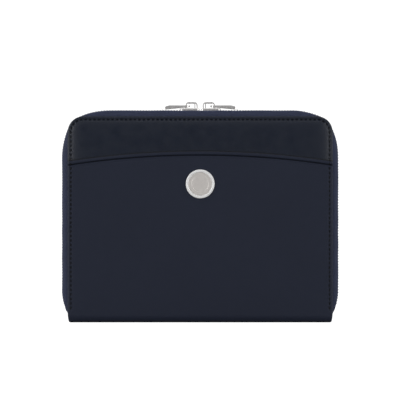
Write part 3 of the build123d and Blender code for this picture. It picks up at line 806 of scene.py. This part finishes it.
def zip_tape(name, side, seam, material):
    """One tape: flat beside the coil, then puffed up, then flat where it is sewn in."""
    skin = Skin()
    web = [(y, WEB_DEPTH) for y in np.linspace(WEB_START, WEB_REACH, 6)[:-1]]
    puff = [(WEB_REACH + share * (seam - WEB_REACH), depth) for share, depth in TAPE_LINE]
    sewn = [(seam, depth) for depth in np.linspace(TAPE_LINE[-1][1], TAPE_FOOT, 4)[1:]]
    line = np.vstack([web, eased(puff), sewn])
    lean = np.gradient(line, axis=0)
    lean /= np.linalg.norm(lean, axis=1)[:, None]
    outward = joined(lean[:, 1], -lean[:, 0])
    section = np.vstack([line + TAPE_HALF * outward, (line - TAPE_HALF * outward)[::-1]])
    end = STRAIGHT_END + TUCK_RADIUS * radians(TAPE_TUCK_ANGLE)
    along = np.linspace(-end, end, 2 * int(end / TAPE_STEP) + 1)
    swell = smooth(*RIPPLE_START, section[:, 0]) * (1 - smooth(*RIPPLE_END, section[:, 0] - seam))
    wave = np.sin(along / TAPE_WAVES[0] + 1.3 * np.sin(along / TAPE_WAVES[1]))
    ripple = TAPE_RIPPLE * wave[:, None] * swell[None]
    y = side * (section[None, :, 0] + 0.5 * ripple)
    points = zip_point(along[:, None], section[None, :, 1] + ripple, y)
    uvs = joined(along[:, None], lengths(section))
    skin.bar(points, uvs)
    return skin.make(name, material)


def zip_coil(name, side, phase, sink, material):
    """One coil: a wire wound round its core cord, sewn down by two rows of thread."""
    skin = Skin()
    end = STRAIGHT_END + TUCK_RADIUS * radians(COIL_TUCK_ANGLE)
    turns = int((end - CHAIN_SPLIT) / TOOTH_PITCH)
    count = np.arange(turns * TURN_STEPS + 1) / TURN_STEPS
    angle = tau * count
    squared = np.sign(np.sin(angle)) * np.abs(np.sin(angle)) ** 0.8
    wire_depth = COIL_DEPTH + sink + COIL_HALF_HEIGHT * np.cos(angle)
    wire_y = side * (COIL_OFFSET - COIL_HALF_WIDTH * squared)
    core = np.arange(CHAIN_SPLIT, end, 1.0)
    core_y = side * (COIL_OFFSET + CORE_SHIFT)
    sewn = np.arange(CHAIN_SPLIT, end, TOOTH_PITCH / 4)
    bead = SEWING_RADIUS + SEWING_SWELL * np.abs(np.sin(pi * sewn / TOOTH_PITCH))
    for hand in (-1, 1):
        along = hand * (CHAIN_SPLIT + (count + phase) * TOOTH_PITCH)
        wire = zip_point(along, wire_depth, wire_y)
        axis = zip_point(along, COIL_DEPTH + sink, side * COIL_OFFSET)
        tube(skin, wire, WIRE_RADIUS, sides=6, out=wire - axis)
        tube(skin, zip_point(hand * core, COIL_DEPTH + sink, core_y), CORE_RADIUS)
        for row in SEWING_ROWS:
            tube(skin, zip_point(hand * sewn, SEWING_DEPTH, side * row), bead, sides=6)
    return skin.make(name, material)


# ---- Badge ----


def turned_piece(name, section, material, sides, looped):
    """A piece turned about the badge's axis, from radii and heights over the panel."""
    skin = Skin()
    section = np.array(section)
    angle = np.linspace(0, tau, sides, endpoint=False)
    radius = section[:, :1]
    points = joined(radius * np.cos(angle), -FACE - section[:, 1:], BADGE_Z + radius * np.sin(angle))
    uvs = joined(angle * BADGE_RADIUS, radius)
    grid = skin.add(points, uvs)
    skin.quads(grid, close_columns=True, close_rows=looped, flip=True)
    if not looped:
        skin.face(grid[0])
        skin.face(grid[-1], flip=True)
    return skin.make(name, material)


def badge_ring(material):
    """The polished ring: its section is a closed loop, so it has no caps."""
    inner = BADGE_RADIUS - RING_WIDTH
    middle = BADGE_RADIUS - RING_WIDTH / 2
    section = [(BADGE_RADIUS - 0.1, -RING_SUNK), (BADGE_RADIUS, 0.1), (BADGE_RADIUS, 0.5)]
    for turn in np.linspace(0, pi, 15):
        section.append((middle + RING_WIDTH / 2 * cos(turn), 0.5 + RING_CROWN * sin(turn)))
    section += [(inner, 0.45), (inner, -RING_SUNK)]
    return turned_piece("badge_ring", section, material, 128, looped=True)


def badge_face(material):
    """The satin disc, faintly dished, with a fine raised ring between two grooves."""
    edge = BADGE_RADIUS - RING_WIDTH - DISC_PLAY
    section = [(edge, -0.1), (edge, 0.42), (edge - 0.12, 0.52)]
    fine = np.linspace(DISC_RIDGE + 0.25, DISC_RIDGE - 0.25, 11)
    outer, middle = np.linspace(edge - 0.4, DISC_RIDGE + 0.35, 5), np.linspace(DISC_RIDGE - 0.4, 0.4, 10)
    for radius in np.concatenate([outer, fine, middle]):
        ridge = 0.07 * hump(radius, DISC_RIDGE, 0.11)
        grooves = 0.03 * (hump(radius, DISC_RIDGE + 0.24, 0.08) + hump(radius, DISC_RIDGE - 0.24, 0.08))
        section.append((radius, DISC_HEIGHT + 0.04 * (radius / edge) ** 2 + ridge - grooves))
    return turned_piece("badge_face", section, material, 112, looped=False)


# ---- Materials ----


class Finish:
    """A material's node tree around one Principled shader."""

    def __init__(self, name, **fixed):
        self.material = bpy.data.materials.new(name)
        self.material.use_nodes = True
        self.tree = self.material.node_tree
        self.shader = self.tree.nodes["Principled BSDF"]
        for socket, value in fixed.items():
            self.shader.inputs[socket.replace("_", " ")].default_value = value

    def node(self, kind, inputs=None, **settings):
        node = self.tree.nodes.new("ShaderNode" + kind)
        for key, value in settings.items():
            setattr(node, key, value)
        for key, value in (inputs or {}).items():
            if isinstance(value, bpy.types.NodeSocket):
                self.tree.links.new(value, node.inputs[key])
            else:
                node.inputs[key].default_value = value
        return node

    def metric(self):
        """Coordinates along the surface, in metres."""
        return self.node("UVMap", uv_map="surface").outputs["UV"]

    def in_place(self):
        """Coordinates in the row frame, in metres."""
        return self.node("TexCoord").outputs["Object"]

    def noise(self, vector, size_mm, detail=4.0):
        inputs = {"Vector": vector, "Scale": 1 / (size_mm * MM), "Detail": detail, "Roughness": 0.55}
        return self.node("TexNoise", inputs).outputs["Fac"]

    def cells(self, vector, size_mm):
        inputs = {"Vector": vector, "Scale": 1 / (size_mm * MM)}
        return self.node("TexVoronoi", inputs).outputs["Distance"]

    def ribs(self, vector, pitch_mm, direction, distortion=0.0):
        """Parallel ribs about a pitch apart."""
        inputs = {"Vector": vector, "Scale": 2 / (6.28 * pitch_mm * MM), "Distortion": distortion}
        settings = {"wave_type": "BANDS", "bands_direction": direction}
        return self.node("TexWave", inputs, **settings).outputs["Fac"]

    def ramp(self, value, start=0.0, end=1.0, low=0.3, high=0.7):
        inputs = {"Value": value, "From Min": low, "From Max": high, "To Min": start, "To Max": end}
        return self.node("MapRange", inputs).outputs["Result"]

    def math(self, operation, a, b=0.0):
        return self.node("Math", {0: a, 1: b}, operation=operation).outputs["Value"]

    def mix(self, factor, a, b):
        """One colour over another."""
        a, b = (c if isinstance(c, bpy.types.NodeSocket) else (*c, 1.0) for c in (a, b))
        return self.node("Mix", {0: factor, 6: a, 7: b}, data_type="RGBA").outputs[2]

    def stretched(self, vector, x=1.0, angle=0.0):
        inputs = {"Vector": vector, "Scale": (x, 1.0, 1.0), "Rotation": (0.0, 0.0, angle)}
        return self.node("Mapping", inputs).outputs["Vector"]

    def rim(self):
        return self.node("Attribute", attribute_name="rim").outputs["Fac"]

    def colour(self, value):
        self.tree.links.new(value, self.shader.inputs["Base Color"])

    def roughness(self, value):
        self.tree.links.new(value, self.shader.inputs["Roughness"])

    def bump(self, *layers):
        """Bump layers of (height, depth in millimetres), the coarsest first."""
        normal = None
        for height, depth_mm in layers:
            inputs = {"Height": height, "Distance": depth_mm * MM, "Strength": 1.0}
            if normal is not None:
                inputs["Normal"] = normal
            normal = self.node("Bump", inputs).outputs["Normal"]
        self.tree.links.new(normal, self.shader.inputs["Normal"])


def leather(name, dark, light, edge, rough, grain_mm, grain_depth, specular):
    """Leather: pebbled grain, soft tone changes, polished wear, dark edge paint on the rims, and painted
    shade in the stitch grooves and the crease.
    """
    finish = Finish(name, Specular_IOR_Level=specular)
    place = finish.metric()
    tone = finish.noise(place, 38.0, detail=3.0)
    pores = finish.cells(place, grain_mm)
    fine = finish.noise(place, grain_mm * 0.4, detail=3.0)
    body = finish.mix(finish.ramp(tone), dark, light)
    pored = finish.mix(finish.ramp(pores, 0.0, 0.35, 0.25, 0.75), body, dark)
    rim = finish.rim()
    # the rim attribute mixes in the edge colour: edge paint on the rims, painted shade in grooves and
    # the crease
    finish.colour(finish.mix(finish.ramp(rim, low=0.35, high=1.0), pored, edge))
    worn = finish.ramp(finish.noise(place, 6.0), rough - 0.035, rough + 0.035, 0.35, 0.65)
    finish.roughness(finish.math("SUBTRACT", worn, finish.math("MULTIPLY", rim, 0.08)))
    finish.bump((pores, grain_depth), (fine, grain_depth * 0.5))
    return finish.material


def woven_tape():
    """Zip tape: fine ribs crossed by the weft, with a slight sheen."""
    finish = Finish("zip_tape_weave", Sheen_Weight=0.25, Sheen_Roughness=0.4, Specular_IOR_Level=0.35)
    finish.shader.inputs["Sheen Tint"].default_value = (0.45, 0.5, 0.9, 1.0)
    place = finish.metric()
    ribs = finish.ribs(place, 0.42, "Y")
    weft = finish.ribs(place, 0.36, "X", distortion=0.6)
    weave = finish.math("MULTIPLY", ribs, finish.math("ADD", weft, 0.5))
    tone = finish.noise(place, 9.0)
    yarn = finish.mix(finish.ramp(tone), (0.027, 0.037, 0.083), (0.037, 0.048, 0.104))
    # the weave's hollows are painted darker, as shade between the yarns
    finish.colour(finish.mix(finish.ramp(weave, 0.45, 0.0, 0.0, 1.2), yarn, (0.006, 0.007, 0.016)))
    finish.roughness(finish.ramp(tone, 0.62, 0.72))
    finish.bump((weave, 0.07))
    return finish.material


def nylon():
    """Coil wire: smooth nylon with a soft shine."""
    finish = Finish("coil_nylon", Specular_IOR_Level=0.5)
    place = finish.in_place()
    tone = finish.noise(place, 3.0)
    finish.colour(finish.mix(finish.ramp(tone), (0.012, 0.014, 0.026), (0.022, 0.025, 0.042)))
    finish.roughness(finish.ramp(tone, 0.3, 0.42))
    finish.bump((finish.noise(place, 0.25), 0.012))
    return finish.material


def twill():
    """Lining twill: diagonal ribs half a millimetre apart."""
    finish = Finish("lining_twill", Sheen_Weight=0.15, Sheen_Roughness=0.5, Specular_IOR_Level=0.3)
    place = finish.metric()
    ribs = finish.ribs(finish.stretched(place, angle=radians(45)), 0.5, "X", distortion=0.4)
    tone = finish.noise(place, 12.0)
    yarn = finish.mix(finish.ramp(tone), (0.024, 0.029, 0.048), (0.032, 0.038, 0.060))
    # the hollows between the ribs are painted darker, as shade
    finish.colour(finish.mix(finish.ramp(ribs, 0.5, 0.0, 0.0, 1.0), yarn, (0.009, 0.011, 0.020)))
    finish.roughness(finish.ramp(tone, 0.7, 0.8))
    finish.bump((ribs, 0.06))
    return finish.material


def thread():
    """Bonded thread: dark, and taken down to almost black as painted shade of the stitch holes."""
    finish = Finish("bonded_thread", Specular_IOR_Level=0.2)
    place = finish.metric()
    fibre = finish.noise(finish.stretched(place, x=0.3), 0.12)
    # the thread's dark colour, darkened further as painted shade
    finish.colour(finish.mix(fibre, (0.0015, 0.0018, 0.0030), (0.0030, 0.0036, 0.0060)))
    finish.roughness(finish.ramp(fibre, 0.45, 0.6))
    finish.bump((fibre, 0.02))
    return finish.material


def plated(name, colour, rough, metallic=1.0, brushed=0.0):
    """Plated metal: polishing waves, faint smudges, and brushing round the axis on satin. A metallic
    below 1 mixes in a pale diffuse colour, a painted shine that stands in for the bright studio's
    reflection.
    """
    finish = Finish(name, Metallic=metallic)
    place = finish.metric() if brushed else finish.in_place()
    smudge = finish.noise(place, 5.0, detail=5.0)
    finish.colour(finish.mix(finish.ramp(smudge, low=0.35), colour, tuple(0.93 * c for c in colour)))
    finish.roughness(finish.ramp(smudge, rough, rough + 0.06))
    waves = finish.noise(place, 1.2, detail=2.0)
    if brushed:
        lines = finish.noise(finish.stretched(place, x=0.04), 0.09, detail=2.0)
        finish.bump((waves, 0.004), (lines, brushed))
    else:
        finish.bump((waves, 0.003))
    return finish.material


def pressed_board():
    """Stiffening board: pale fibres."""
    finish = Finish("pressed_board", Specular_IOR_Level=0.2)
    place = finish.in_place()
    fibre = finish.noise(finish.stretched(place, x=0.4), 0.6, detail=6.0)
    finish.colour(finish.mix(fibre, (0.30, 0.27, 0.23), (0.52, 0.48, 0.42)))
    finish.roughness(finish.ramp(fibre, 0.85, 0.95))
    finish.bump((fibre, 0.05))
    return finish.material


smooth_leather = leather(
    "smooth_leather", (0.0024, 0.0062, 0.0180), (0.0034, 0.0080, 0.0215), RIM_PAINT_AND_SHADE_COLOUR,
    rough=0.36, grain_mm=0.55, grain_depth=0.005, specular=0.44,
)
matte_leather = leather(
    "matte_leather", (0.0088, 0.0130, 0.0300), (0.0100, 0.0148, 0.0330), RIM_PAINT_AND_SHADE_COLOUR,
    rough=0.55, grain_mm=0.45, grain_depth=0.010, specular=0.3,
)
inner_leather = leather(
    "inner_leather", (0.0120, 0.0155, 0.0300), (0.0160, 0.0200, 0.0370), (0.009, 0.011, 0.018),
    rough=0.5, grain_mm=0.7, grain_depth=0.02, specular=0.4,
)
tape_weave = woven_tape()
coil_nylon = nylon()
lining_twill = twill()
bonded_thread = thread()
# nickel, partly metallic only: the pale diffuse part is painted shine standing in for the white studio's
# reflection
polished_nickel_painted_shine = plated("polished_nickel_painted_shine", (0.97, 0.95, 0.94), 0.17, metallic=0.65)
ring_nickel_painted_shine = plated("ring_nickel_painted_shine", (1.0, 1.0, 1.0), 0.26, metallic=0.15)
satin_nickel_painted_shine = plated("satin_nickel_painted_shine", (0.79, 0.75, 0.72), 0.38, metallic=0.45, brushed=0.004)
plain_steel = plated("plain_steel", (0.5, 0.5, 0.5), 0.3)
board = pressed_board()


# ---- Pieces on their bodies ----


def settle(piece, body, slot, *nodes):
    """Puts a piece on its body in place of its CAD nodes."""
    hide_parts(*nodes)
    if body:
        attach(piece, body)
    return piece


def fold_blend(piece):
    """Bakes a piece's transform into its mesh."""
    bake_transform(piece)


def chain_blend(piece):
    """Bakes a tape's or a coil's transform into its mesh."""
    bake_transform(piece)


panel = pocket_panel(matte_leather)
settle(panel, None, "leather_matte", "front_pocket_panel")
fold_blend(panel)

seen_foot = PANEL_TOP - ARCH_RISE - UPPER_LAP
hidden_rows = np.linspace(cover_low[2], seen_foot, UPPER_LAP_ROWS + 1)[:-1]
seen_count = in_groups((TOP - CORNER - seen_foot) / FINE_STEP)
upper_rows = np.concatenate([hidden_rows, np.linspace(seen_foot, TOP - CORNER, seen_count + 1)])
upper = cover_piece("front_leather", -1, upper_depth, SHEET + UPPER_THICK, upper_rows, smooth_leather)
settle(upper, "front_cover", "leather_smooth", "front_cover_leather")

back_rows = fold_and_face_rows(TOP - CORNER, FOLD_EASE)
back = cover_piece("back_leather", 1, back_depth, SHEET, back_rows, smooth_leather)
settle(back, None, "leather_smooth", "back_cover_leather")
fold_blend(back)

strip = spine_strip(matte_leather)
settle(strip, "spine", "leather_matte", "spine_leather")


def front_seam_depth(x, z):
    """Depth of the front's surface along the stitch line."""
    drop = arch(abs(x)) - z
    if drop > -STITCH_LENGTH:
        return panel_depth(x, max(drop, SEAM_DROP), STITCH_INSET, z)
    return upper_depth(x, z, STITCH_INSET)


def back_seam_depth(x, z):
    """Depth of the back's surface along the stitch line."""
    return back_depth(x, z, STITCH_INSET)


SIDES = {"front": -1, "back": 1}
SEAM_DEPTHS = {"front": front_seam_depth, "back": back_seam_depth}
for face, side in SIDES.items():
    sewing = stitches(f"{face}_stitches", side, SEAM_DEPTHS[face], bonded_thread)
    settle(sewing, f"{face}_cover", "thread", f"{face}_edge_stitching")

for face, side in SIDES.items():
    tape = zip_tape(f"{face}_tape", side, TAPE_SEAM[face], tape_weave)
    settle(tape, None, "zip_tape", f"{face}_zip_tape")
    chain_blend(tape)
for face, side in SIDES.items():
    coil = zip_coil(f"{face}_coil", side, *COIL_SHIFT[face], coil_nylon)
    settle(coil, None, "zip_coil", f"{face}_zip_coil")
    chain_blend(coil)

settle(badge_ring(ring_nickel_painted_shine), "front_cover", "polished_metal", "badge_bezel")
settle(badge_face(satin_nickel_painted_shine), "front_cover", "satin_metal", "badge_disc")

for number in range(1, 5):
    slot_piece = card_slot(number, inner_leather)
    settle(slot_piece, "front_cover", "leather_inner", f"front_card_slot_{number}")
for pocket in ("note", "passport"):
    node = f"back_{pocket}_pocket"
    settle(wide_pocket(f"{pocket}_pocket", node, inner_leather), "back_cover", "leather_inner", node)


def lay_cloth(piece, body, node):
    """A lining glued flat on its board, put on its body in place of its CAD node."""
    settle(piece, body, "lining_fabric", node)


for name, cover, toward in (("front_twill", "front_cover", 1), ("back_twill", "back_cover", -1)):
    node = f"{cover}_lining"
    lay_cloth(cover_lining(name, node, toward, lining_twill), cover, node)
spine_twill = flat_sheet("spine_twill", "spine_lining", lining_twill, SPINE_TWILL_CORNER)
lay_cloth(spine_twill, "spine", "spine_lining")
for hand in ("left", "right"):
    node = f"zip_end_tab_{hand}"
    tab = flat_sheet(f"end_tab_{hand}", node, smooth_leather, END_TAB_CORNER)
    settle(tab, "spine", "leather_smooth", node)

CAD_FINISHES = {"board": board, "zip_end_stop": coil_nylon}
CAD_FINISHES |= dict.fromkeys(["slider_lock_spring", "badge_rivet", "badge_washer"], plain_steel)
CAD_FINISHES |= dict.fromkeys(["slider_body", "slider_crown", "pull_tab"], polished_nickel_painted_shine)
for node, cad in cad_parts.items():
    for part, finish in CAD_FINISHES.items():
        if part in node and not cad.hide_render:
            cad.data.materials.clear()
            cad.data.materials.append(finish)

# ---- Studio ----


def soft_box(place, width, height, radiance):
    """A rectangular light that faces the wallet's middle."""
    light = bpy.data.lights.new("soft_box", "AREA")
    light.shape = "RECTANGLE"
    light.size, light.size_y = width, height
    light.energy = radiance * width * height * pi
    lamp = new_object("soft_box", light)
    lamp.location = place
    lamp.rotation_euler = (Vector(LIT_MIDDLE) - Vector(place)).to_track_quat("-Z", "Y").to_euler()


def seen_white(tree, lit, white):
    """Mixes in a plain white that only the camera's own rays see."""
    path = tree.nodes.new("ShaderNodeLightPath")
    mixer = tree.nodes.new("ShaderNodeMixShader")
    tree.links.new(path.outputs["Is Camera Ray"], mixer.inputs[0])
    tree.links.new(lit, mixer.inputs[1])
    tree.links.new(white, mixer.inputs[2])
    return mixer.outputs[0]


def studio_world():
    """A dim even fill, seen as white by the camera."""
    world = bpy.data.worlds.new("studio")
    bpy.context.scene.world = world
    world.use_nodes = True
    tree = world.node_tree
    fill = tree.nodes["Background"]
    white = tree.nodes.new("ShaderNodeBackground")
    for node, strength in ((fill, WORLD_FILL), (white, WORLD_WHITE)):
        node.inputs["Color"].default_value = (1, 1, 1, 1)
        node.inputs["Strength"].default_value = strength
    output = tree.nodes["World Output"]
    tree.links.new(seen_white(tree, fill.outputs[0], white.outputs[0]), output.inputs["Surface"])


def pale_floor():
    """A wide pale floor, which the camera sees nearly white."""
    mesh = bpy.data.meshes.new("floor")
    corners = [(x * FLOOR_REACH, y * FLOOR_REACH, 0) for x, y in ((-1, -1), (1, -1), (1, 1), (-1, 1))]
    mesh.from_pydata(corners, [], [(0, 1, 2, 3)])
    finish = Finish("pale_floor", Base_Color=(FLOOR_PAINT, FLOOR_PAINT, FLOOR_PAINT, 1), Roughness=0.9)
    paint = finish.shader.outputs[0]
    glow = finish.node("Emission", {"Strength": FLOOR_GLOW}).outputs[0]
    part = finish.node("MixShader", {0: FLOOR_GLOW_SHARE, 1: paint, 2: glow}).outputs[0]
    surface = seen_white(finish.tree, paint, part)
    finish.tree.links.new(surface, finish.tree.nodes["Material Output"].inputs["Surface"])
    mesh.materials.append(finish.material)
    new_object("floor", mesh)


studio_world()
pale_floor()
for light in LIGHTS:
    soft_box(*light)

lens = bpy.data.cameras.new("camera")
lens.sensor_width = 36.0
lens.lens = lens.sensor_width * CAMERA_DISTANCE / VIEW_WIDTH
lens.clip_end = 20.0
camera = new_object("camera", lens)
camera.location = (-0.0001, -CAMERA_DISTANCE, CAMERA_HEIGHT)
camera.rotation_euler = (pi / 2, 0, 0)
bpy.context.scene.camera = camera
bpy.context.scene.view_settings.view_transform = "Standard"
